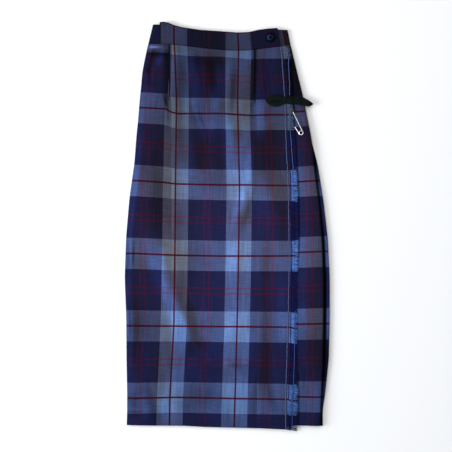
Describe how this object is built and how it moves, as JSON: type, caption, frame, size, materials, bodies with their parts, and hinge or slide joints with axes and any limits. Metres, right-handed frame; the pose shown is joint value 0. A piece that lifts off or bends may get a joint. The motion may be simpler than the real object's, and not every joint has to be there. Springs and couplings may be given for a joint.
{
  "type": "laid-flat tartan wrap kilt",
  "caption": "Long wrap kilt in blue and navy tartan, laid flat on its pleated back, with waist darts, a buttoned waistband, a fringed apron edge, a black bow and a kilt pin.",
  "frame": {"origin": "bottom centre of the bounding box, on the surface that the kilt lies on", "axes": "+X towards the fringed right edge as seen from the front, +Y from the hem up to the waistband, +Z out of the front apron"},
  "size_m": [0.451, 0.8952, 0.0151],
  "materials": {
    "tartan": "twill-woven wool in navy and grey-blue checks with thin dark red lines",
    "fringe": "loose wool yarn",
    "ribbon": "matt black ribbon",
    "button": "polished navy",
    "pin": "bright nickel plate"
  },
  "bodies": {
    "root": {"front_apron": "tartan", "under_apron": "tartan", "outer_pleat": "tartan", "pleated_back": "tartan", "waistband_front": "tartan", "waistband_back": "tartan", "fringe_upper": "fringe", "fringe_lower": "fringe", "button": "button", "bow": "ribbon", "pin_wire": "pin", "pin_cap": "pin"}
  },
  "joints": []
}
